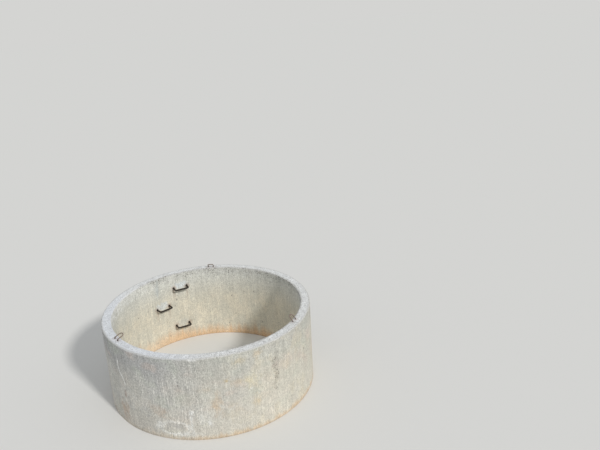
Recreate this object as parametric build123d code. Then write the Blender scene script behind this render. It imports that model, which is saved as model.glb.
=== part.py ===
"""Precast concrete culvert ring with its cast-in step irons and lifting loops.

The ring stands on its foot, with its axis on Z and the origin at the middle of the foot.
The step irons are on the +Y side of the bore. Lengths are in millimetres and angles in degrees.
"""

from build123d import *
from math import cos, degrees, radians, sin
import os

# The ring
bore_diameter = 2000.0
wall_thickness = 100.0
ring_height = 890.0
rim_round = 8.0  # trowelled arrises at the top
foot_chamfer = 4.0  # arrises cast against the pallet

# What keeps a bar off the concrete around it
cement_film = 0.2

# Step irons: a plain round bar each, bent to a U and set level
iron_bar = 20.0
iron_width = 162.0  # between the middles of the legs
iron_reach = 80.0  # from the bore wall to the middle of the tread
iron_bend = 22.0  # radius at the middle of the bar
iron_embedment = 78.0
iron_stagger_width = 225.0  # round the bore, between the two columns
upper_iron_stray = 18.0  # it was set this far to the right of its column
upper_iron_height = 710.0
middle_iron_height = 505.0
lower_iron_height = 215.0

# Lifting loops: a thinner bar each, bent to a hairpin and pushed into the wet rim
loop_bar = 10.0
loop_width = 60.0  # between the middles of the legs
loop_length = 300.0  # from the ends of the legs to the crown, along the bar
loop_crown_flat = 6.0  # straight part in the middle of the crown
loop_rise = 14.0  # from the rim to the corner where the loop leans over
loop_bend = 18.0  # radius of that corner, at the middle of the bar
loop_standing_length = 90.0  # bar left standing out of the rim, as far as the crown
loop_cover_depth = 44.0  # from the bore to the legs
front_loop_standing_length = 72.0  # this one was pushed in deeper, and nearer to the bore
front_loop_cover_depth = 34.0

# Where each loop stands round the rim, and how far a hook has pulled it over the bore
back_loop_azimuth, back_loop_lean = 60.0, 56.0
left_loop_azimuth, left_loop_lean = 185.0, 70.0
front_loop_azimuth, front_loop_lean = 300.0, 44.0

# Taken from the sizes above
bore_radius = bore_diameter / 2
half_stagger = degrees(iron_stagger_width / 2 / bore_radius)
right_column = 90.0 - half_stagger
left_column = 90.0 + half_stagger
upper_iron_azimuth = right_column - degrees(upper_iron_stray / bore_radius)


def bent_bar(path, diameter):
    """A round bar along a path."""
    section = Plane(origin=path @ 0, z_dir=path % 0) * Circle(diameter / 2)
    return sweep(section, path=path)


def step_iron_path(column, height, film=0.0):
    """The middle of a step iron's bar: a leg out of the wall, the tread, and a leg back in."""
    side = iron_width / 2
    tread = bore_radius - iron_reach
    end = bore_radius + iron_embedment + film
    corners = [(end, -side, 0), (tread, -side, 0), (tread, side, 0), (end, side, 0)]
    return Location((0, 0, height), (0, 0, column)) * FilletPolyline(*corners, radius=iron_bend)


def lifting_loop_path(azimuth, lean, cover, standing, film=0.0):
    """The middle of a loop's bar: up out of the rim, over the bore, round the crown and back."""
    side = loop_width / 2
    leg = bore_radius + cover
    end = ring_height + standing - loop_length - film
    corner = ring_height + loop_rise
    reach = standing - loop_rise
    crown = leg - reach * sin(radians(lean)), corner + reach * cos(radians(lean))
    way_up = [(leg, side, end), (leg, side, corner), (crown[0], side, crown[1])]
    way_down = [(x, -y, z) for x, y, z in reversed(way_up)]
    crown_bend = side - loop_crown_flat / 2
    bends = [loop_bend, crown_bend, crown_bend, loop_bend]
    return Location((0, 0, 0), (0, 0, azimuth)) * FilletPolyline(*way_up, *way_down, radius=bends)


def turned_wall():
    """The wall turned round the axis, with the arrises of its foot chamfered and those of its rim rounded."""
    wall = Rectangle(wall_thickness, ring_height, align=(Align.MIN, Align.MIN))
    wall = chamfer(wall.vertices().group_by(Axis.Y)[0], foot_chamfer)
    wall = fillet(wall.vertices().group_by(Axis.Y)[-1], rim_round)
    return revolve(Plane.XZ * Pos(bore_radius, 0) * wall, Axis.Z)


step_irons = {
    "step_iron_upper": (upper_iron_azimuth, upper_iron_height),
    "step_iron_middle": (left_column, middle_iron_height),
    "step_iron_lower": (right_column, lower_iron_height),
}
lifting_loops = {
    "lifting_loop_back": (back_loop_azimuth, back_loop_lean, loop_cover_depth, loop_standing_length),
    "lifting_loop_left": (left_loop_azimuth, left_loop_lean, loop_cover_depth, loop_standing_length),
    "lifting_loop_front": (
        front_loop_azimuth,
        front_loop_lean,
        front_loop_cover_depth,
        front_loop_standing_length,
    ),
}

parts = {"concrete_ring": turned_wall()}

# Each bar, and the socket that the concrete formed around it
for node, place in step_irons.items():
    parts[node] = bent_bar(step_iron_path(*place), iron_bar)
    socket = bent_bar(step_iron_path(*place, film=cement_film), iron_bar + 2 * cement_film)
    parts["concrete_ring"] -= socket
for node, place in lifting_loops.items():
    parts[node] = bent_bar(lifting_loop_path(*place), loop_bar)
    socket = bent_bar(lifting_loop_path(*place, film=cement_film), loop_bar + 2 * cement_film)
    parts["concrete_ring"] -= socket

os.makedirs("parts", exist_ok=True)
for node, shape in parts.items():
    export_step(shape, f"parts/{node}.step")
    print(f"{node}: {shape.volume / 1e6:.4f} litres")
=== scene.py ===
"""Looks of the concrete culvert ring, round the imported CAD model.

Lengths are in metres and colours are as seen on a screen, from 0 to 255. The ring stands on the
floor with its axis on Z and its step irons on the +Y side. Azimuths are in degrees from +X towards
+Y. The wall facing the camera is at FRONT; bearings on the wall are counted from there, to the
right as the camera sees it.
"""

import random
from math import acos, atan2, ceil, cos, degrees, floor, hypot, pi, radians, sin, tan

import bpy
import numpy as np
from mathutils import Matrix, Vector, noise

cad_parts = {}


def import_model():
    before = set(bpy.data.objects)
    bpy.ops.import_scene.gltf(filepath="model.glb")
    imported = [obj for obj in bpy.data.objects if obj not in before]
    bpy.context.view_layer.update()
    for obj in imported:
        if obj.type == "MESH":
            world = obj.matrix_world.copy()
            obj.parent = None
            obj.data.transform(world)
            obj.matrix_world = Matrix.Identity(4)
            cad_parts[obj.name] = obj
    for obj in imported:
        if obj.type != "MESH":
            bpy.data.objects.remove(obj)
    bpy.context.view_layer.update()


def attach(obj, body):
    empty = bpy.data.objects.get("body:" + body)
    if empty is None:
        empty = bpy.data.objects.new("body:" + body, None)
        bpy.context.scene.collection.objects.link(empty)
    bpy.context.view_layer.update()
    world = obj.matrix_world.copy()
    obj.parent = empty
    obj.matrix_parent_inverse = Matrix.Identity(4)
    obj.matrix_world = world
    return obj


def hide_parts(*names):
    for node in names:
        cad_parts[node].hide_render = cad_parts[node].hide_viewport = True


# The ring, as in the CAD model
BORE = 1.0
OUTSIDE = 1.1
HEIGHT = 0.89
RIM_ROUND = 0.008
FOOT_CHAMFER = 0.004

# Step irons
IRON_BAR = 0.02
IRON_WIDTH = 0.162
IRON_REACH = 0.08
IRON_BEND = 0.022
IRON_EMBEDMENT = 0.078
HALF_STAGGER = degrees(0.1125 / BORE)
UPPER_STRAY = degrees(0.018 / BORE)
STEP_IRONS = {
    "step_iron_upper": (90 - HALF_STAGGER - UPPER_STRAY, 0.710),
    "step_iron_middle": (90 + HALF_STAGGER, 0.505),
    "step_iron_lower": (90 - HALF_STAGGER, 0.215),
}

# Lifting loops: azimuth, lean, distance from the bore to the legs, bar left standing
LOOP_BAR = 0.01
LOOP_WIDTH = 0.06
LOOP_LENGTH = 0.3
LOOP_CROWN_FLAT = 0.006
LOOP_RISE = 0.014
LOOP_BEND = 0.018
LIFTING_LOOPS = {
    "lifting_loop_back": (60, 56, 0.044, 0.090),
    "lifting_loop_left": (185, 70, 0.044, 0.090),
    "lifting_loop_front": (300, 44, 0.034, 0.072),
}

# How finely the bars are meshed: the step along a bar and the sides round it
IRON_STEP, IRON_SIDES = 0.004, 20
LOOP_STEP, LOOP_SIDES = 0.0035, 16

# A bar bent by hand strays up to this far, from this distance outside the concrete on
BAR_STRAY = 0.0011
BAR_EASE = 0.03

# Rows of points on a wall: how many go round, from and to what height, how many rows
FEW_ROUND, MORE_ROUND, MOST_ROUND = 360, 720, 1440
WALL_ROWS = [
    (FEW_ROUND, FOOT_CHAMFER, 0.792, 41),
    (MORE_ROUND, 0.802, 0.858, 7),
    (MOST_ROUND, 0.864, 0.8768, 3),
]
ARRIS_ROWS, RIM_ROWS, FOOT_ROWS = 5, 17, 6

# The sockets: half the square cut from the surface, then (radius, depth) from a lip that stands out
IRON_SOCKET_CUT = 0.0165
IRON_SOCKET = [(0.0155, -0.0008), (0.013, 0.0006), (0.011, 0.003), (0.0107, IRON_EMBEDMENT + 0.004)]
LOOP_SOCKET_CUT = 0.0095
LOOP_SOCKET = [(0.0085, -0.0006), (0.0068, 0.0012), (0.0057, 0.003), (0.0056, 0.235)]
# How dark the sockets are painted: painted shade in the recess, with some dirt
SOCKET_SHADE_AND_DIRT = 0.6
IRON_RUST, LOOP_RUST = 1.0, 0.6

# Rust on the concrete: the halo round a leg, the width and length of the run below it
RUST_HALO = 0.05
RUST_RUN_WIDTH = 0.02
RUST_RUN_LENGTH = 0.22
RUST_END = 0.12  # no rust is further than this from a leg, seen from above

# Blow holes: how many, their sides, their form as shares of the radius, and the one that shows in front
BLOW_HOLES = 105
BLOW_HOLE_SEED = 11
BLOW_HOLE_SIDES = 12
BLOW_HOLE_FORM = [(1.0, 0.0), (0.94, 0.35), (0.72, 0.75), (0.3, 0.95)]
FRONT_BLOW_HOLE = (-18.4, 0.607, 0.0065)  # bearing, height, radius
CHIP_BEARING = -10.0  # a pale chip in the outer arris of the rim, which the photograph shows

# The photograph's camera
CAMERA_PLACE = Vector((-2.7175, -5.8812, 4.044))
CAMERA_YAW = 34.015
CAMERA_DOWN = 19.781
CAMERA_ROLL = -2.929
CAMERA_FOCUS = 661.9 / 600  # focal length over the picture's width
SENSOR = 36.0
FRONT = degrees(atan2(CAMERA_PLACE.y, CAMERA_PLACE.x))

# The stage
FLOOR_HALF_WIDTH = 60.0
SUN_AZIMUTH = -85
SUN_HEIGHT = 35
SUN_LIGHT = 1.95
SUN_SOFTNESS = 6
SKY_LIGHT = 0.54
BACKGROUND = (212, 212, 210)  # what the lit floor comes to, so that no horizon shows

# Most of a noise texture lies between these
NOISE_LOW, NOISE_HIGH = 0.3, 0.7

# Stains on the outside: bearing and height, half their width and height, strength, colour
BROWN = (190, 158, 130)
BEIGE = (209, 194, 160)
LIME = (220, 219, 213)
STAINS = [
    ((-0.4, 0.37), (0.06, 0.14), 0.5, (204, 174, 138)),
    ((-30.7, 0.29), (0.11, 0.07), 0.45, BROWN),
    ((-56.0, 0.165), (0.10, 0.12), 0.45, BROWN),
    ((-22.3, 0.165), (0.13, 0.04), 0.45, (172, 171, 170)),
    ((-32.5, 0.125), (0.05, 0.045), 0.5, (228, 228, 224)),
    ((-53.0, 0.355), (0.022, 0.045), 0.9, (140, 104, 88)),
    ((22.5, 0.82), (0.06, 0.06), 0.6, (214, 190, 152)),
    ((12.5, 0.80), (0.07, 0.05), 0.4, BEIGE),
    ((20.0, 0.33), (0.05, 0.08), 0.5, (212, 190, 150)),
    ((12.0, 0.575), (0.14, 0.05), 0.4, (206, 188, 162)),
    ((-6.0, 0.56), (0.08, 0.04), 0.3, (206, 188, 162)),
    ((5.3, 0.62), (0.035, 0.035), 0.8, (184, 162, 116)),
    ((18.0, 0.56), (0.10, 0.08), 0.45, (224, 214, 178)),
    ((26.0, 0.45), (0.16, 0.18), 0.3, (216, 203, 184)),
    ((9.0, 0.24), (0.10, 0.12), 0.25, BEIGE),
    ((-7.5, 0.24), (0.10, 0.09), 0.5, LIME),
    ((-13.6, 0.24), (0.016, 0.12), 1.0, (230, 230, 226)),
    ((-13.3, 0.31), (0.026, 0.028), 1.0, (234, 234, 230)),
    ((-4.6, 0.18), (0.035, 0.035), 0.7, (226, 226, 224)),
    ((-14.5, 0.065), (0.16, 0.035), 0.7, LIME),
    ((17.9, 0.473), (0.02, 0.015), 0.8, (228, 227, 222)),
    ((CHIP_BEARING, 0.880), (0.06, 0.016), 1.0, (240, 240, 238)),
    ((1.0, 0.451), (0.008, 0.05), 0.4, (150, 144, 134)),
]


def linear(red, green, blue):
    """A screen colour as the shader wants it."""
    return tuple(
        (c / 12.92 if c <= 0.04045 else ((c + 0.055) / 1.055) ** 2.4)
        for c in (red / 255, green / 255, blue / 255)
    ) + (1.0,)


def smooth(value, low, high):
    """0 up to low, 1 from high, and a smooth climb between."""
    t = min(max((value - low) / (high - low), 0.0), 1.0)
    return t * t * (3 - 2 * t)


def off_front(turn):
    """Degrees round the ring, to the right, from the wall facing the camera."""
    return (degrees(turn) - FRONT + 180) % 360 - 180


def link(thing):
    bpy.context.scene.collection.objects.link(thing)


def to_piece(name, points, faces, node, material, sharp=(), marks=None):
    """A mesh that stands for a CAD node and rides on the root body."""
    mesh = bpy.data.meshes.new(name)
    mesh.from_pydata(points, [], faces)
    mesh.validate()
    mesh.shade_smooth()
    if sharp:
        flags = [tuple(sorted(e.vertices)) in sharp for e in mesh.edges]
        mesh.attributes.new("sharp_edge", "BOOLEAN", "EDGE").data.foreach_set("value", flags)
    for mark, values in (marks or {}).items():
        mesh.attributes.new(mark, "FLOAT", "POINT").data.foreach_set("value", values)
    mesh.materials.append(material)
    piece = bpy.data.objects.new(name, mesh)
    link(piece)
    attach(piece, "root")
    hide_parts(node)
    return piece


# Bars

def arc(corner, back, on, bend, step):
    """Points round a corner between the ways back and on, with a bend of that radius."""
    half = acos(back.dot(on)) / 2
    centre = corner + (back + on).normalized() * bend / sin(half)
    start = corner + back * bend / tan(half)
    end = corner + on * bend / tan(half)
    sweep = pi - 2 * half
    turns = max(4, ceil(sweep * bend / step))
    a, b = (start - centre) / bend, (end - centre) / bend
    points = []
    for k in range(turns + 1):
        t = k / turns * sweep
        points.append(centre + (a * sin(sweep - t) + b * sin(t)) * bend / sin(sweep))
    return points


def rounded(corners, bends, step):
    """Points, a step apart, along a line of runs whose corners are rounded."""
    line = [corners[0]]
    for before, corner, after, bend in zip(corners, corners[1:], corners[2:], bends):
        back, on = (before - corner).normalized(), (after - corner).normalized()
        line += arc(corner, back, on, bend, step)
    line.append(corners[-1])
    points = [line[0]]
    for a, b in zip(line, line[1:]):
        pieces = max(1, round((b - a).length / step))
        points += [a.lerp(b, (k + 1) / pieces) for k in range(pieces)]
    return points


def strayed(points, along, buried, shift):
    """The points of a bar that was bent by hand: true in the concrete, a little off outside it."""
    bent = []
    for p, s in zip(points, along):
        free = smooth(min(s, along[-1] - s), buried, buried + BAR_EASE)
        wander = [noise.noise(p * 14 + shift + Vector((0, 0, 40 * axis))) for axis in range(3)]
        bent.append(p + Vector(wander) * BAR_STRAY * free)
    return bent


def bar(points, radius, sides, buried, seed):
    """A rusty round bar along points. buried says how far from its ends the concrete keeps it true."""
    shift = Vector((seed * 7.3, seed * 3.1, seed * 1.7))
    along = [0.0]
    for a, b in zip(points, points[1:]):
        along.append(along[-1] + (b - a).length)
    bent = strayed(points, along, buried, shift)
    verts = []
    ahead = (bent[1] - bent[0]).normalized()
    across = ahead.orthogonal().normalized()
    for i, p in enumerate(bent):
        ahead = (bent[min(i + 1, len(bent) - 1)] - bent[max(i - 1, 0)]).normalized()
        across = (across - ahead * across.dot(ahead)).normalized()
        up = ahead.cross(across)
        free = smooth(min(along[i], along[-1] - along[i]), buried - 0.004, buried + 0.004)
        for k in range(sides):
            t = 2 * pi * k / sides
            out = across * cos(t) + up * sin(t)
            q = p + out * radius
            scale_of_rust = noise.noise(q * 160 + shift) * 0.022 + noise.noise(q * 420 + shift) * 0.018
            verts.append(p + out * radius * (1 + scale_of_rust * free - 0.02 * free))
    return verts, tube_faces(len(bent), sides)


def tube_faces(rings, sides):
    """The faces of a closed tube of so many rings of points."""
    faces = []
    for i in range(rings - 1):
        for k in range(sides):
            a, b = i * sides + k, i * sides + (k + 1) % sides
            faces.append((a, b, b + sides, a + sides))
    faces.append(tuple(reversed(range(sides))))
    faces.append(tuple(range((rings - 1) * sides, rings * sides)))
    return faces


def step_iron_line(column, height):
    """The middle of a step iron: a leg out of the wall, the tread and a leg back in."""
    turn = Matrix.Rotation(radians(column), 3, "Z")
    side, tread, end = IRON_WIDTH / 2, BORE - IRON_REACH, BORE + IRON_EMBEDMENT
    corners = [(end, -side), (tread, -side), (tread, side), (end, side)]
    corners = [turn @ Vector((x, y, height)) for x, y in corners]
    return rounded(corners, [IRON_BEND] * 2, IRON_STEP)


def lifting_loop_line(azimuth, lean, cover, standing):
    """The middle of a loop: up out of the rim, over the bore, round the crown and back."""
    turn = Matrix.Rotation(radians(azimuth), 3, "Z")
    side, leg = LOOP_WIDTH / 2, BORE + cover
    end, corner = HEIGHT + standing - LOOP_LENGTH, HEIGHT + LOOP_RISE
    reach = standing - LOOP_RISE
    crown = leg - reach * sin(radians(lean)), corner + reach * cos(radians(lean))
    up = [(leg, side, end), (leg, side, corner), (crown[0], side, crown[1])]
    corners = [turn @ Vector(p) for p in up + [(x, -y, z) for x, y, z in reversed(up)]]
    crown_bend = side - LOOP_CROWN_FLAT / 2
    return rounded(corners, [LOOP_BEND, crown_bend, crown_bend, LOOP_BEND], LOOP_STEP)


# The concrete

def profile():
    """Rows of the ring from the foot up the outside, over the rim and down the bore: how many points go
    round, the point (radius, height) and the way out of the concrete there."""
    climb = [(count, z) for count, low, high, rows in WALL_ROWS for z in np.linspace(low, high, rows)]
    outer, inner, top = OUTSIDE - RIM_ROUND, BORE + RIM_ROUND, HEIGHT - RIM_ROUND

    def arris(middle, start, end):
        return [
            (MOST_ROUND, middle + RIM_ROUND * cos(t), top + RIM_ROUND * sin(t), cos(t), sin(t))
            for t in np.radians(np.linspace(start, end, ARRIS_ROWS))
        ]

    rows = [(FEW_ROUND, OUTSIDE - FOOT_CHAMFER, 0.0, 0, -1)]
    rows += [(n, OUTSIDE, z, 1, 0) for n, z in climb]
    rows += arris(outer, 0, 90)
    rows += [(MOST_ROUND, r, HEIGHT, 0, 1) for r in np.linspace(outer, inner, RIM_ROWS)[1:-1]]
    rows += arris(inner, 90, 180)
    rows += [(n, BORE, z, -1, 0) for n, z in reversed(climb)]
    foot = np.linspace(BORE + FOOT_CHAMFER, OUTSIDE - FOOT_CHAMFER, FOOT_ROWS)[:-1]
    rows += [(FEW_ROUND, r, 0.0, 0, -1) for r in foot]
    return rows


class Casting:
    """The concrete as points on its profile: an azimuth, a distance along the profile, and how far the
    point is pushed into the concrete."""

    def __init__(self):
        rows = profile()
        self.count = [row[0] for row in rows]
        self.shape = np.array([row[1:] for row in rows], float)
        steps = np.hypot(*np.diff(self.shape[:, :2], axis=0).T)
        self.along = np.concatenate([[0.0], np.cumsum(steps)])
        self.turn, self.run, self.push, self.pit, self.faces = [], [], [], [], []
        self.cut, self.sharp = set(), set()
        self.start = []
        for count, s in zip(self.count, self.along):
            self.start.append(len(self.turn))
            for i in range(count):
                self.add(2 * pi * i / count, s)

    def add(self, turn, run, push=(0.0, 0.0, 0.0), pit=0.0):
        """A point, and how dark its pit is. Gives the point's number."""
        self.turn.append(turn)
        self.run.append(run)
        self.push.append(push)
        self.pit.append(pit)
        return len(self.turn) - 1

    def radius_at(self, run):
        """The radius at a distance along the profile."""
        return float(np.interp(run, self.along, self.shape[:, 0]))

    def run_at(self, radius, height, inside):
        """The distance along the profile of a point on the rim, the outside or the bore."""
        if height >= HEIGHT:
            rows = [j for j, p in enumerate(self.shape) if p[1] == HEIGHT]
            return float(np.interp(-radius, -self.shape[rows, 0], self.along[rows]))
        face = BORE if inside else OUTSIDE
        rows = [j for j, p in enumerate(self.shape) if p[0] == face]
        order = sorted(rows, key=lambda j: self.shape[j, 1])
        return float(np.interp(height, self.shape[order, 1], self.along[order]))

    def block(self, turn, run, half):
        """The rows and columns of cells that hold a disc, or None where the mesh changes size."""
        j0 = int(np.searchsorted(self.along, run - half)) - 1
        j1 = int(np.searchsorted(self.along, run + half))
        if j0 < 0 or j1 >= len(self.along) or len(set(self.count[j0 : j1 + 1])) > 1:
            return None
        cell = 2 * pi / self.count[j0]
        spread = half / self.radius_at(run)
        i0, i1 = floor((turn - spread) / cell), ceil((turn + spread) / cell)
        return j0, j1, i0, i1

    def frame_of(self, block, turn, run):
        """The points round a block of cells as (angle about the middle of the hole, number)."""
        j0, j1, i0, i1 = block
        count, radius = self.count[j0], self.radius_at(run)
        edge = [(j0, i) for i in range(i0, i1)] + [(j, i1) for j in range(j0, j1)]
        edge += [(j1, i) for i in range(i1, i0, -1)] + [(j, i0) for j in range(j1, j0, -1)]
        points = []
        for j, i in edge:
            x, y = (2 * pi * i / count - turn) * radius, self.along[j] - run
            points.append((atan2(y, x) % (2 * pi), self.start[j] + i % count))
        return sorted(points)

    def open(self, turn, run, half, rings, axis, sides, pit=1.0):
        """Cuts a hole into the surface. half is half the square that is cut out. rings are (radius,
        depth) from the outermost, and the last one closes the hole."""
        block = self.block(turn, run, half)
        if block is None:
            return
        j0, j1, i0, i1 = block
        cells = {(j, i % self.count[j0]) for j in range(j0, j1) for i in range(i0, i1)}
        if cells & self.cut:
            return
        self.cut |= cells
        radius = self.radius_at(run)
        outer = self.frame_of(block, turn, run)
        for number, (ring, depth) in enumerate(rings):
            inner = []
            for k in range(sides):
                t = 2 * pi * (k + 0.5) / sides
                place = turn + ring * cos(t) / radius, run + ring * sin(t)
                # The pit mark: painted shade with dirt, full in the hole and less on the lip
                dark = pit if depth > 0 else 0.3 * pit
                inner.append((t, self.add(*place, tuple(axis * depth), dark)))
            if number:
                self.join(outer, inner)
            else:
                self.stitch(outer, inner)
                names = [v for _, v in inner]
                self.sharp |= {tuple(sorted(pair)) for pair in zip(names, names[1:] + names[:1])}
            outer = inner
        self.faces.append(tuple(v for _, v in outer))

    def join(self, outer, inner):
        """Faces between two rings of as many points."""
        sides = len(outer)
        for k in range(sides):
            n = (k + 1) % sides
            self.faces.append((outer[k][1], outer[n][1], inner[n][1], inner[k][1]))

    def stitch(self, outer, inner):
        """Triangles between two rings of (angle, point) of different counts."""
        i = j = 0
        while i < len(outer) or j < len(inner):
            a, b = outer[i % len(outer)][1], inner[j % len(inner)][1]
            next_outer = outer[i % len(outer)][0] + 2 * pi * (i // len(outer))
            next_inner = inner[j % len(inner)][0] + 2 * pi * (j // len(inner))
            if j >= len(inner) or (i < len(outer) and next_outer < next_inner):
                i += 1
                self.faces.append((a, outer[i % len(outer)][1], b))
            else:
                j += 1
                self.faces.append((a, inner[j % len(inner)][1], b))

    def close(self):
        """The faces of every cell that wasn't cut."""
        rows = len(self.count)
        for j in range(rows):
            k = (j + 1) % rows
            here, there = self.count[j], self.count[k]
            low, high = self.start[j], self.start[k]
            for i in range(min(here, there)):
                n = (i + 1) % min(here, there)
                if here == there:
                    if (j, i) not in self.cut:
                        self.faces.append((low + i, low + n, high + n, high + i))
                elif here < there:
                    a, b, c = high + 2 * i, high + 2 * i + 1, high + 2 * n
                    self.faces += [(low + i, b, a), (low + i, low + n, b), (low + n, c, b)]
                else:
                    a, b, c = low + 2 * i, low + 2 * i + 1, low + 2 * n
                    self.faces += [(a, b, high + i), (b, high + n, high + i), (b, c, high + n)]

    def mesh(self):
        """Points, faces, sharp edges and pits, without the points that the holes did away with."""
        used = sorted({v for face in self.faces for v in face})
        number = {v: i for i, v in enumerate(used)}
        places = self.points()
        faces = [tuple(number[v] for v in face) for face in self.faces]
        sharp = {tuple(sorted(number[v] for v in edge)) for edge in self.sharp}
        return [places[v] for v in used], faces, sharp, [self.pit[v] for v in used]

    def points(self):
        """Where each point lies, with the unevenness and the wear of the surface."""
        shape = np.array([np.interp(self.run, self.along, self.shape[:, k]) for k in range(4)]).T
        outer_arris = self.arris(OUTSIDE)
        inner_arris = self.arris(BORE)
        placed = []
        for turn, run, push, (r, z, nr, nz) in zip(self.turn, self.run, self.push, shape):
            c, s = cos(turn), sin(turn)
            p = Vector((r * c, r * s, z))
            out = Vector((nr * c, nr * s, nz))
            if z > 0:
                p += out.normalized() * unevenness(p, nr, nz)
            for arris, side in ((outer_arris, 1), (inner_arris, -1)):
                worn = arris_wear(turn, side) - 0.8 * abs(run - arris)
                if worn > 0:
                    p -= Vector((side * c, side * s, 1)).normalized() * worn
            placed.append(p + Vector(push))
        return placed

    def arris(self, face):
        """The distance along the profile of the middle of a rounded arris of the rim."""
        spots = [j for j, p in enumerate(self.shape) if p[3] > 0.5 and abs(abs(p[2]) - p[3]) < 0.01]
        return next(self.along[j] for j in spots if abs(self.shape[j, 0] - face) < RIM_ROUND)


def unevenness(p, radial, upward):
    """How far the surface stands out from the true form: waves of the mould on the walls, the float's
    marks and grains on the rim, and the honeycombed band under the rim in the bore."""
    wall = 0.0011 * noise.noise(p * 2.3) + 0.0004 * noise.noise(p * 8)
    wall += 0.00025 * noise.noise(Vector((p.x * 42, p.y * 42, p.z * 3)))
    rim = 0.0014 * noise.noise(p * 6) + 0.0008 * noise.noise(p * 26) + 0.0005 * noise.noise(p * 80)
    rim -= 0.0022 * smooth(noise.noise(p * 62 + Vector((5, 0, 0))), 0.34, 0.6)
    if radial < 0:
        band = smooth(p.z, 0.79, 0.84) * smooth(noise.noise(p * 1.7 + Vector((0, 3, 0))), -0.25, 0.25)
        wall -= 0.0035 * band * smooth(noise.noise(p * 30), 0.12, 0.5)
    return wall * abs(radial) + rim * max(upward, 0)


def arris_wear(turn, side):
    """How much is worn off an arris of the rim there, with chips at places of their own and the one that
    the photograph shows. side is 1 at the outside and -1 at the bore."""
    p = Vector((cos(turn), sin(turn), side * 2)) * 1.05
    wear = 0.0012 + 0.0014 * noise.noise(p * 9) + 0.0010 * noise.noise(p * 34) + 0.0006 * noise.noise(p * 95)
    chips = smooth(noise.noise(p * 4.2 + Vector((9, 0, 0))), 0.2, 0.5)
    wear += 0.009 * chips * smooth(noise.noise(p * 17), 0.15, 0.55)
    if side > 0:
        away = abs(off_front(turn) - CHIP_BEARING)
        wear += 0.007 * smooth(2.8 - away, 0.0, 1.6) * (0.8 + 0.5 * noise.noise(p * 28))
    return wear


def iron_sockets(casting):
    """A socket round each leg of each step iron, with a broken lip of cement. Gives the rusty spots."""
    rusty = []
    reach = (BORE**2 - (IRON_WIDTH / 2) ** 2) ** 0.5
    for column, height in STEP_IRONS.values():
        axis = Vector((cos(radians(column)), sin(radians(column)), 0))
        for side in (-1, 1):
            turn = radians(column) + atan2(side * IRON_WIDTH / 2, reach)
            run = casting.run_at(BORE, height, True)
            casting.open(turn, run, IRON_SOCKET_CUT, IRON_SOCKET, axis, IRON_SIDES, SOCKET_SHADE_AND_DIRT)
            rusty.append((Vector((BORE * cos(turn), BORE * sin(turn), height)), IRON_RUST))
    return rusty


def loop_sockets(casting):
    """The same in the rim for the lifting loops."""
    rusty = []
    down = Vector((0, 0, -1))
    for azimuth, lean, cover, standing in LIFTING_LOOPS.values():
        leg = BORE + cover
        radius = hypot(leg, LOOP_WIDTH / 2)
        run = casting.run_at(radius, HEIGHT, False)
        for side in (-1, 1):
            turn = radians(azimuth) + atan2(side * LOOP_WIDTH / 2, leg)
            casting.open(turn, run, LOOP_SOCKET_CUT, LOOP_SOCKET, down, LOOP_SIDES, SOCKET_SHADE_AND_DIRT)
            rusty.append((Vector((radius * cos(turn), radius * sin(turn), HEIGHT)), LOOP_RUST))
    return rusty


def blow_holes(casting):
    """The blow hole that shows in front, and the rest scattered as casting leaves them: small ones mostly,
    and smaller still in front, where the photograph shows next to none."""
    draw = random.Random(BLOW_HOLE_SEED)
    bearing, height, size = FRONT_BLOW_HOLE
    found = [(radians(FRONT + bearing), height, False, size)]
    for _ in range(BLOW_HOLES):
        inside = draw.random() < 0.45
        size = 0.0026 + 0.0036 * draw.random() ** 2.2
        turn = draw.uniform(0, 2 * pi)
        if not inside and abs(off_front(turn)) < 50:
            size *= 0.6
        found.append((turn, draw.uniform(0.03, 0.78), inside, size))
    for turn, height, inside, size in found:
        face = BORE if inside else OUTSIDE
        way = Vector((cos(turn), sin(turn), 0)) * (1 if inside else -1)
        rings = [(size * wide, size * deep) for wide, deep in BLOW_HOLE_FORM]
        casting.open(turn, casting.run_at(face, height, inside), size + 0.001, rings, way, BLOW_HOLE_SIDES)


def rust_at(p, spot):
    """How much a leg at spot has stained the concrete at p: a halo, and a run below it on a wall."""
    flat = hypot(p.x - spot.x, p.y - spot.y)
    if flat > RUST_END:
        return 0.0
    drop = spot.z - p.z
    halo = smooth(RUST_HALO - hypot(flat, drop), 0.0, RUST_HALO)
    run = 0.7 * smooth(RUST_RUN_WIDTH - flat, 0.0, RUST_RUN_WIDTH) * smooth(drop, -0.01, 0.01)
    run *= smooth(RUST_RUN_LENGTH - drop, 0.0, 0.2)
    return min(1.0, halo + run)


def concrete_ring(material):
    """The ring's mesh, with marks for the material: how dark a pit is with painted shade and dirt, and how
    rusty the concrete.
    """
    casting = Casting()
    rusty = iron_sockets(casting) + loop_sockets(casting)
    blow_holes(casting)
    casting.close()
    points, faces, sharp, pit = casting.mesh()
    rust = [max(share * rust_at(p, spot) for spot, share in rusty) for p in points]
    marks = {"pit": pit, "rust": rust}
    return to_piece("concrete", points, faces, "concrete_ring", material, sharp, marks)


# Materials

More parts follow.
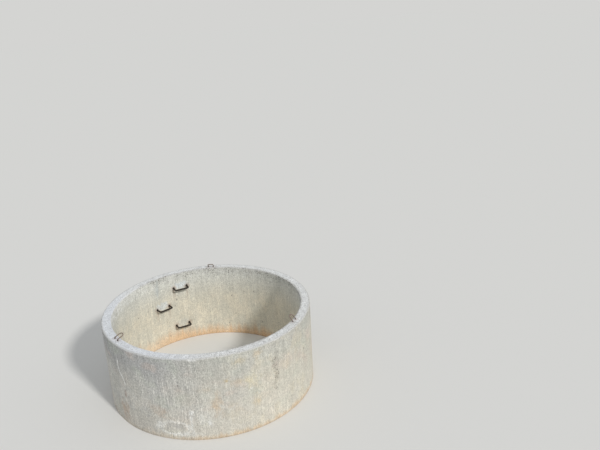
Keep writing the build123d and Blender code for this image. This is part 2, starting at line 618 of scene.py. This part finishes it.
class Nodes:
    """Short calls for the nodes of one material. Each gives the socket that the next one takes."""

    def __init__(self, name):
        self.material = bpy.data.materials.new(name)
        self.material.use_nodes = True
        self.tree = self.material.node_tree
        self.tree.nodes.clear()

    def put(self, socket, value):
        """Links a socket to another, or sets it."""
        if isinstance(value, bpy.types.NodeSocket):
            self.tree.links.new(value, socket)
        else:
            socket.default_value = value

    def add(self, kind, inputs=(), **settings):
        node = self.tree.nodes.new("ShaderNode" + kind)
        for name, value in settings.items():
            setattr(node, name, value)
        for key, value in dict(inputs).items():
            self.put(node.inputs[key], value)
        return node

    def maths(self, operation, *values):
        return self.add("Math", enumerate(values), operation=operation).outputs[0]

    def product(self, first, *others):
        for other in others:
            first = self.maths("MULTIPLY", first, other)
        return first

    def total(self, first, *others):
        for other in others:
            first = self.maths("ADD", first, other)
        return first

    def less(self, first, other):
        return self.maths("SUBTRACT", first, other)

    def unsigned(self, value):
        return self.maths("ABSOLUTE", value)

    def length(self, a, b):
        return self.maths("SQRT", self.total(self.product(a, a), self.product(b, b)))

    def along(self, vector, direction):
        """How far a place lies in a direction."""
        inputs = {0: vector, 1: tuple(direction)}
        return self.add("VectorMath", inputs, operation="DOT_PRODUCT").outputs["Value"]

    def stretched(self, vector, x, y, z):
        return self.add("VectorMath", {0: vector, 1: (x, y, z)}, operation="MULTIPLY").outputs[0]

    def noise(self, vector, scale, detail, roughness=0.55):
        inputs = {"Vector": vector, "Scale": scale, "Detail": detail, "Roughness": roughness}
        return self.add("TexNoise", inputs).outputs["Fac"]

    def cells(self, vector, scale):
        return self.add("TexVoronoi", {"Vector": vector, "Scale": scale}).outputs["Distance"]

    def climb(self, value, low, high, bottom=0.0, top=1.0):
        """bottom up to low, top from high, and a smooth climb between."""
        inputs = {"Value": value, "From Min": low, "From Max": high, "To Min": bottom, "To Max": top}
        return self.add("MapRange", inputs, interpolation_type="SMOOTHSTEP").outputs["Result"]

    def between(self, value, start, full, still_full, end):
        """1 from full to still_full, and 0 before start and after end."""
        return self.product(self.climb(value, start, full), self.climb(value, end, still_full))

    def varied(self, pattern, bottom, top):
        """bottom to top, from the low places of a noise to its high ones."""
        return self.climb(pattern, NOISE_LOW, NOISE_HIGH, bottom, top)

    def ragged(self, value, pattern, amount):
        """A value moved by a noise, by up to that amount either way."""
        return self.total(value, self.varied(pattern, -amount, amount))

    def blend(self, amount, a, b):
        node = self.add("Mix", data_type="RGBA")
        colours = [s for s in node.inputs if s.type == "RGBA"]
        for socket, value in ((node.inputs[0], amount), (colours[0], a), (colours[1], b)):
            self.put(socket, value)
        return next(s for s in node.outputs if s.type == "RGBA")

    def tint(self, colour, paint, share, strength=1.0):
        """The colour with some screen colour laid over it."""
        if strength != 1.0:
            share = self.product(share, strength)
        return self.blend(share, colour, linear(*paint))

    def scaled(self, colour, value):
        """A colour made lighter or darker by a number."""
        inputs = {0: colour, "Scale": value}
        return self.add("VectorMath", inputs, operation="SCALE").outputs[0]

    def mark(self, name):
        return self.add("Attribute", attribute_name=name).outputs["Fac"]

    def finish(self, colour, roughness, height, distance):
        bump = self.add("Bump", {"Height": height, "Distance": distance, "Strength": 1.0})
        normal = bump.outputs[0]
        inputs = {"Base Color": colour, "Roughness": roughness, "Metallic": 0.0, "Normal": normal}
        shader = self.add("BsdfPrincipled", inputs)
        self.add("OutputMaterial", {"Surface": shader.outputs[0]})
        return self.material


class ConcreteNodes(Nodes):
    """Nodes of the concrete, with where a point is on it and the patterns that its colours share."""

    def __init__(self):
        super().__init__("concrete")
        self.place = self.add("TexCoord").outputs["Object"]
        self.x, self.y, self.z = self.add("SeparateXYZ", {0: self.place}).outputs
        self.radius = self.length(self.x, self.y)
        self.inside = self.climb(self.radius, BORE + 0.06, BORE + 0.04)
        self.wall = self.less(1.0, self.inside)
        self.count_from_front()

        self.broad = self.noise(self.place, 1.5, 2.0)
        self.patches = self.noise(self.stretched(self.place, 1, 1, 0.7), 6.5, 4.0, 0.6)
        self.clouds = self.noise(self.place, 21.0, 4.0, 0.6)
        self.flecks = self.noise(self.stretched(self.place, 1, 1, 0.6), 96.0, 5.0, 0.7)
        self.streaks = self.noise(self.stretched(self.place, 1, 1, 0.045), 62.0, 3.0, 0.6)
        self.wide_streaks = self.noise(self.stretched(self.place, 1, 1, 0.10), 16.0, 3.0, 0.6)
        self.grain = self.noise(self.place, 230.0, 4.0, 0.75)
        self.speckle = self.noise(self.place, 88.0, 4.0, 0.8)

    def count_from_front(self):
        """Where a point is on the wall: metres round it from the front, and the sine of its bearing."""
        front = Vector((cos(radians(FRONT)), sin(radians(FRONT)), 0))
        right = Vector((-front.y, front.x, 0))
        to_right = self.along(self.place, right)
        bearing = self.maths("ARCTAN2", to_right, self.along(self.place, front))
        self.around = self.product(bearing, OUTSIDE)
        self.sideways = self.maths("DIVIDE", to_right, self.radius)

    def from_spot(self, bearing, height, wide, tall, uneven=1.0):
        """How far a point is from a spot on the outside, in times its size, with an uneven edge."""
        across = self.maths("DIVIDE", self.less(self.around, radians(bearing) * OUTSIDE), wide)
        up = self.maths("DIVIDE", self.less(self.z, height), tall)
        wobble = self.product(self.varied(self.clouds, -0.45, 0.45), uneven)
        return self.total(self.length(across, up), wobble)

    def mark_wall(self, colour, paint, share, strength):
        """The colour with a mark on the outside only."""
        return self.tint(colour, paint, self.product(share, self.wall), strength)


def outside_colour(n):
    """Grey, cooler and darker at the left, partly as painted shade, lighter low down, with hair streaks and
    some soil.
    """
    # Painted light in part: the warmer, lighter grey grows towards the sunlit right and the cool darker grey
    # holds the left, partly the concrete's own tone and partly painted sunlight and shade.
    painted_sunlight_and_tone = n.climb(n.ragged(n.sideways, n.broad, 0.25), -0.9, 0.65)
    colour = n.blend(painted_sunlight_and_tone, linear(175, 175, 174), linear(197, 193, 180))
    rosy = n.noise(n.stretched(n.place, 1, 1, 1.6), 4.2, 2.0)
    colour = n.tint(colour, (206, 188, 176), n.climb(rosy, 0.52, 0.68, 0.0, 0.3))
    colour = n.tint(colour, (186, 194, 178), n.climb(rosy, 0.48, 0.32, 0.0, 0.3))
    low = n.climb(n.ragged(n.z, n.patches, 0.16), 0.55, 0.12)
    colour = n.tint(colour, (212, 207, 194), low, 0.6)
    high = n.product(n.climb(n.z, 0.58, 0.84), n.climb(n.sideways, -0.48, 0.0))
    colour = n.tint(colour, (182, 182, 175), high, 0.7)
    # Painted light: a paler grey part way up at the left, away from the sun, stands for light thrown up from
    # the ground.
    painted_bounce_light = n.product(n.between(n.z, 0.15, 0.38, 0.48, 0.78), n.climb(n.sideways, -0.39, -0.68))
    colour = n.tint(colour, (205, 203, 194), painted_bounce_light, 0.6)
    warm = n.product(n.climb(n.sideways, -0.2, 0.48), n.climb(n.patches, 0.5, 0.66))
    colour = n.tint(colour, BEIGE, warm, 0.2)

    hairs = n.climb(n.noise(n.stretched(n.place, 1, 1, 0.05), 135.0, 2.0, 0.5), 0.52, 0.62)
    hairs = n.product(hairs, n.climb(n.patches, 0.36, 0.6, 0.25, 1.0))
    middle = n.product(n.between(n.z, 0.08, 0.35, 0.58, 0.76), n.climb(n.sideways, 0.3, -0.1, 0.3, 1.0))
    colour = n.tint(colour, (226, 224, 215), n.product(hairs, middle), 0.65)

    splash = n.climb(n.ragged(n.z, n.wide_streaks, 0.02), 0.07, 0.0)
    splash = n.product(splash, n.climb(n.sideways, -0.64, 0.1, 0.2, 0.6))
    return n.tint(colour, (208, 178, 140), splash)


def bore_colour(n):
    """Pale, whiter under the rim, with orange soil heaped at its foot."""
    colour = n.blend(n.climb(n.patches, 0.35, 0.65), linear(212, 208, 193), linear(219, 212, 194))
    colour = n.tint(colour, (209, 209, 201), n.climb(n.z, 0.45, 0.82))
    under_rim = n.climb(n.ragged(n.z, n.clouds, 0.05), 0.74, 0.87)
    under_rim = n.product(under_rim, n.climb(n.x, -0.3, -0.85, 0.3, 1.0))
    colour = n.tint(colour, (228, 229, 226), under_rim)
    at_left = n.climb(n.x, -0.22, -0.5, 0.0, 0.07)
    at_irons = n.climb(n.unsigned(n.x), 0.3, 0.0, 0.0, 0.05)
    above_soil = n.ragged(n.less(n.z, n.total(at_left, at_irons)), n.wide_streaks, 0.035)
    soil = n.product(n.climb(above_soil, 0.17, 0.0), n.climb(n.x, -0.5, 0.15, 0.45, 0.95))
    colour = n.tint(colour, (222, 188, 150), soil)
    return water_run(n, mortar(n, colour))


def mortar(n, colour):
    """Pale mortar smoothed over the wall above each step iron. The upper one has the most."""
    azimuth = n.maths("ARCTAN2", n.y, n.x)
    wobble = n.varied(n.clouds, -0.35, 0.35)
    for (column, height), strength in zip(STEP_IRONS.values(), (0.85, 0.65, 0.15)):
        across = n.maths("DIVIDE", n.less(azimuth, radians(column)), 0.095 / BORE)
        up = n.maths("DIVIDE", n.less(n.z, height + 0.022), 0.055)
        away = n.total(n.length(across, up), wobble)
        colour = n.tint(colour, (222, 228, 229), n.climb(away, 1.15, 0.45), strength)
    return colour


def water_run(n, colour):
    """Cool grey streaks where water ran down the bore from the rim, above the middle step iron."""
    off = n.product(n.unsigned(n.total(n.x, 0.17)), 14.0)
    run = n.product(n.climb(n.total(off, n.clouds), 1.35, 0.6), n.climb(n.y, 0.5, 0.8))
    run = n.product(run, n.climb(n.streaks, 0.40, 0.58), n.climb(n.z, 0.60, 0.72))
    return n.tint(colour, (178, 184, 184), run, 0.7)


def stains(n, colour):
    """Soft stains on the outside, broken up by the streaks."""
    broken = n.climb(n.wide_streaks, 0.35, 0.6, 0.45, 1.0)
    for place, size, strength, paint in STAINS:
        share = n.product(n.climb(n.from_spot(*place, *size), 1.2, 0.0), broken)
        colour = n.mark_wall(colour, paint, share, strength)
    return colour


def lime_ring(n, colour):
    """A ring of lime left by a puddle of grout near the foot."""
    edge = n.unsigned(n.less(n.from_spot(-22.7, 0.132, 0.15, 0.075, 0.4), 1.0))
    share = n.product(n.climb(edge, 0.3, 0.03), n.climb(n.patches, 0.38, 0.6, 0.5, 1.0))
    share = n.product(share, n.climb(n.flecks, 0.35, 0.55, 0.6, 1.0))
    return n.mark_wall(colour, (232, 232, 228), share, 0.7)


def lime_line(n, colour):
    """A crooked thin line of lime at the left."""
    bearing = n.ragged(n.climb(n.z, 0.48, 0.63, -52.2, -56.3), n.clouds, 0.4)
    off = n.unsigned(n.less(n.around, n.product(bearing, radians(OUTSIDE))))
    length = n.between(n.z, 0.44, 0.50, 0.70, 0.76)
    length = n.product(length, n.climb(n.flecks, 0.4, 0.55, 0.7, 1.0))
    return n.mark_wall(colour, (236, 236, 232), n.product(n.climb(off, 0.016, 0.004), length), 0.85)


def dark_flecks(n, colour):
    """Dark flecks in an upright strip at the right."""
    strip = n.climb(n.from_spot(32.6, 0.58, 0.045, 0.25), 1.0, 0.6)
    strip = n.product(strip, n.climb(n.patches, 0.3, 0.5), n.climb(n.flecks, 0.50, 0.58))
    return n.mark_wall(colour, (100, 94, 86), strip, 0.85)


def textured(n, colour):
    """Streaks, clouds and grain, stronger at the left of the outside and higher up."""
    coarse = n.product(n.varied(n.clouds, 0.94, 1.05), n.varied(n.patches, 0.96, 1.04))
    coarse = n.product(coarse, n.varied(n.wide_streaks, 0.97, 1.03))
    fine = n.product(n.varied(n.streaks, 0.93, 1.06), n.climb(n.flecks, 0.15, 0.85, 0.67, 1.32))
    fine = n.product(fine, n.climb(n.grain, 0.15, 0.85, 0.77, 1.23))
    strength = n.product(n.wall, n.climb(n.sideways, 0.0, -0.2, 0.1, 0.45))
    strength = n.total(strength, n.climb(n.z, 0.55, 0.8, 0.95, 1.25))
    fine = n.total(n.product(n.less(fine, 1.0), strength), 1.0)
    return n.scaled(colour, n.product(coarse, fine))


def rim_colour(n):
    """Whiter than the walls, speckled with sand and pits, and dirty along its edges."""
    colour = n.blend(n.climb(n.speckle, 0.32, 0.66), linear(190, 190, 188), linear(246, 247, 246))
    colour = n.tint(colour, (216, 222, 233), n.climb(n.x, -0.4, -0.9, 0.0, 0.4))
    colour = n.scaled(colour, n.varied(n.clouds, 0.92, 1.10))
    colour = n.scaled(colour, n.climb(n.flecks, 0.2, 0.8, 0.80, 1.17))
    radius = n.ragged(n.radius, n.clouds, 0.008)
    inner_edge = n.product(n.climb(radius, BORE + 0.03, BORE + 0.01), n.climb(n.x, -0.6, -0.1))
    edges = n.maths("MAXIMUM", inner_edge, n.climb(radius, OUTSIDE - 0.022, OUTSIDE - 0.004))
    colour = n.tint(colour, (176, 174, 167), edges, 0.55)
    pits = n.climb(n.noise(n.place, 58.0, 2.0, 0.5), 0.62, 0.7)
    return n.tint(colour, (150, 147, 142), pits, 0.6)


def honeycombed(n, colour):
    """Honeycomb under the rim of the bore, where the mix didn't fill the mould. Gives its pits too."""
    reach = n.total(n.x, n.climb(n.z, 0.85, 0.875, 0.0, 0.25))
    band = n.product(n.climb(n.radius, BORE + 0.014, BORE + 0.005), n.climb(reach, -0.40, -0.02))
    colour = n.tint(colour, (182, 182, 177), n.product(band, n.climb(n.z, 0.76, 0.87)), 0.2)
    gaps = n.noise(n.place, 90.0, 3.0, 0.55)
    clusters = n.noise(n.place, 11.0, 3.0, 0.6)
    gaps = n.total(gaps, n.climb(clusters, 0.36, 0.62, -0.06, 0.03), n.climb(n.z, 0.72, 0.87, -0.09, 0.02))
    pits = n.product(n.climb(gaps, 0.585, 0.645), band)
    return n.tint(colour, (108, 102, 93), pits, 0.85), pits


def soiled_and_shaded(n, colour, small_holes):
    """Rust from the bars, dirt in the small holes, and painted shade with dirt in the blow holes and
    sockets.
    """
    rust = n.product(n.mark("rust"), n.climb(n.clouds, 0.3, 0.65, 0.35, 1.0))
    colour = n.tint(colour, (150, 104, 70), rust, 0.6)
    colour = n.tint(colour, (112, 106, 97), small_holes, 0.55)
    # Painted shade with dirt in the blow holes and sockets
    return n.tint(colour, (88, 82, 74), n.mark("pit"), 0.8)


def concrete():
    """Precast concrete: streaked by the mould, mottled, whiter and grainy on the rim, soiled at the foot of
    the bore, with the photograph's own marks on the front."""
    n = ConcreteNodes()
    colour = n.blend(n.inside, outside_colour(n), bore_colour(n))
    for marked in (stains, lime_ring, lime_line, dark_flecks, textured):
        colour = marked(n, colour)
    rim = n.climb(n.ragged(n.z, n.clouds, 0.005), HEIGHT - 0.014, HEIGHT - 0.004)
    colour = n.blend(rim, colour, rim_colour(n))
    colour, pits = honeycombed(n, colour)
    small_holes = n.product(n.climb(n.cells(n.place, 88.0), 0.16, 0.09), n.climb(n.patches, 0.42, 0.62))
    colour = soiled_and_shaded(n, colour, small_holes)

    height = n.total(n.product(n.grain, 0.35), n.product(n.streaks, 0.5))
    height = n.total(height, n.product(n.total(n.clouds, n.flecks), 0.5))
    height = n.less(height, n.product(small_holes, 1.2))
    height = n.less(height, n.product(pits, 1.5))
    height = n.total(height, n.product(rim, n.speckle, 0.9))
    return n.finish(colour, n.varied(n.clouds, 0.82, 0.96), height, 0.0016)


def rusty_steel(name, dark, light, scale_share):
    """A hot-rolled bar left out in the rain: dark mill scale where it holds, rust where it has gone, and
    darker where a loop goes into the rim."""
    n = Nodes(name)
    place = n.add("TexCoord").outputs["Object"]
    broad = n.noise(place, 34.0, 4.0, 0.65)
    flakes = n.noise(place, 190.0, 4.0, 0.7)
    powder = n.noise(place, 700.0, 2.0, 0.7)
    colour = n.blend(n.climb(flakes, 0.32, 0.68), linear(*dark), linear(*light))
    bare = n.climb(broad, scale_share + 0.08, scale_share - 0.05)
    colour = n.tint(colour, (44, 40, 37), bare, 0.7)
    colour = n.scaled(colour, n.varied(powder, 0.8, 1.2))
    z = n.add("SeparateXYZ", {0: place}).outputs[2]
    root = n.between(z, HEIGHT - 0.05, HEIGHT - 0.02, HEIGHT + 0.004, HEIGHT + 0.02)
    colour = n.tint(colour, (48, 36, 30), root, 0.75)
    height = n.total(flakes, n.product(powder, 0.5))
    roughness = n.climb(bare, 0.0, 1.0, 0.93, 0.62)
    return n.finish(colour, roughness, height, 0.0006)


# The stage

def pale_floor():
    """A plain pale floor, wide enough that its edge is never seen."""
    mesh = bpy.data.meshes.new("floor")
    half = FLOOR_HALF_WIDTH
    corners = [(-half, -half, 0), (half, -half, 0), (half, half, 0), (-half, half, 0)]
    mesh.from_pydata(corners, [], [(0, 1, 2, 3)])
    floor_object = bpy.data.objects.new("floor", mesh)
    link(floor_object)
    n = Nodes("floor")
    paint = {"Base Color": linear(226, 225, 222), "Roughness": 0.9, "Specular IOR Level": 0.0}
    shader = n.add("BsdfPrincipled", paint)
    n.add("OutputMaterial", {"Surface": shader.outputs[0]})
    mesh.materials.append(n.material)


def sunlight():
    """Soft sunlight from the photograph's side."""
    sun = bpy.data.lights.new("sun", "SUN")
    sun.energy = SUN_LIGHT
    sun.angle = radians(SUN_SOFTNESS)
    sun.color = (1.0, 0.985, 0.96)
    lamp = bpy.data.objects.new("sun", sun)
    a, h = radians(SUN_AZIMUTH), radians(SUN_HEIGHT)
    towards = Vector((cos(h) * cos(a), cos(h) * sin(a), sin(h)))
    lamp.rotation_euler = towards.to_track_quat("Z", "Y").to_euler()
    link(lamp)


def sky():
    """An even sky for light, and the floor's colour behind the ring where the camera looks past it."""
    world = bpy.data.worlds.new("sky")
    bpy.context.scene.world = world
    world.use_nodes = True
    tree = world.node_tree
    tree.nodes.clear()
    light = tree.nodes.new("ShaderNodeBackground")
    light.inputs["Color"].default_value = (0.94, 0.97, 1.0, 1.0)
    light.inputs["Strength"].default_value = SKY_LIGHT
    seen = tree.nodes.new("ShaderNodeBackground")
    seen.inputs["Color"].default_value = linear(*BACKGROUND)
    rays = tree.nodes.new("ShaderNodeLightPath")
    mix = tree.nodes.new("ShaderNodeMixShader")
    out = tree.nodes.new("ShaderNodeOutputWorld")
    direct = rays.outputs["Is Camera Ray"]
    for ray in ("Is Glossy Ray", "Is Transmission Ray"):
        either = tree.nodes.new("ShaderNodeMath")
        either.operation = "MAXIMUM"
        tree.links.new(direct, either.inputs[0])
        tree.links.new(rays.outputs[ray], either.inputs[1])
        direct = either.outputs[0]
    tree.links.new(direct, mix.inputs[0])
    tree.links.new(light.outputs[0], mix.inputs[1])
    tree.links.new(seen.outputs[0], mix.inputs[2])
    tree.links.new(mix.outputs[0], out.inputs["Surface"])


def camera():
    """The photograph's camera."""
    yaw, down, roll = radians(CAMERA_YAW), radians(CAMERA_DOWN), radians(CAMERA_ROLL)
    ahead = Vector((sin(yaw) * cos(down), cos(yaw) * cos(down), -sin(down)))
    level = Vector((cos(yaw), -sin(yaw), 0))
    above = level.cross(ahead)
    right = level * cos(roll) + above * sin(roll)
    up = above * cos(roll) - level * sin(roll)
    data = bpy.data.cameras.new("camera")
    data.sensor_width = SENSOR
    data.lens = CAMERA_FOCUS * SENSOR
    data.clip_end = 200
    eye = bpy.data.objects.new("camera", data)
    turn = Matrix((right, up, -ahead)).transposed()
    eye.matrix_world = Matrix.Translation(CAMERA_PLACE) @ turn.to_4x4()
    link(eye)
    bpy.context.scene.camera = eye


def step_irons():
    # Painted shade: the irons are coloured darker than their rust alone, standing in for the shadow that
    # each tread casts on the wall just under it.
    steel = rusty_steel("dark_rust_and_shade", (34, 29, 25), (62, 49, 38), 0.47)
    for seed, (node, place) in enumerate(STEP_IRONS.items()):
        verts, faces = bar(step_iron_line(*place), IRON_BAR / 2, IRON_SIDES, IRON_EMBEDMENT + 0.004, seed)
        to_piece(node.replace("step_iron", "rung"), verts, faces, node, steel)


def lifting_loops():
    steel = rusty_steel("light_rust", (106, 92, 84), (158, 140, 129), 0.38)
    for seed, (node, place) in enumerate(LIFTING_LOOPS.items(), 5):
        buried = LOOP_LENGTH - place[3] + 0.003
        verts, faces = bar(lifting_loop_line(*place), LOOP_BAR / 2, LOOP_SIDES, buried, seed)
        to_piece(node.replace("lifting_loop", "eye"), verts, faces, node, steel)


def main():
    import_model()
    bpy.context.scene.view_settings.view_transform = "Standard"
    pale_floor()
    sunlight()
    sky()
    camera()
    concrete_ring(concrete())
    step_irons()
    lifting_loops()


main()
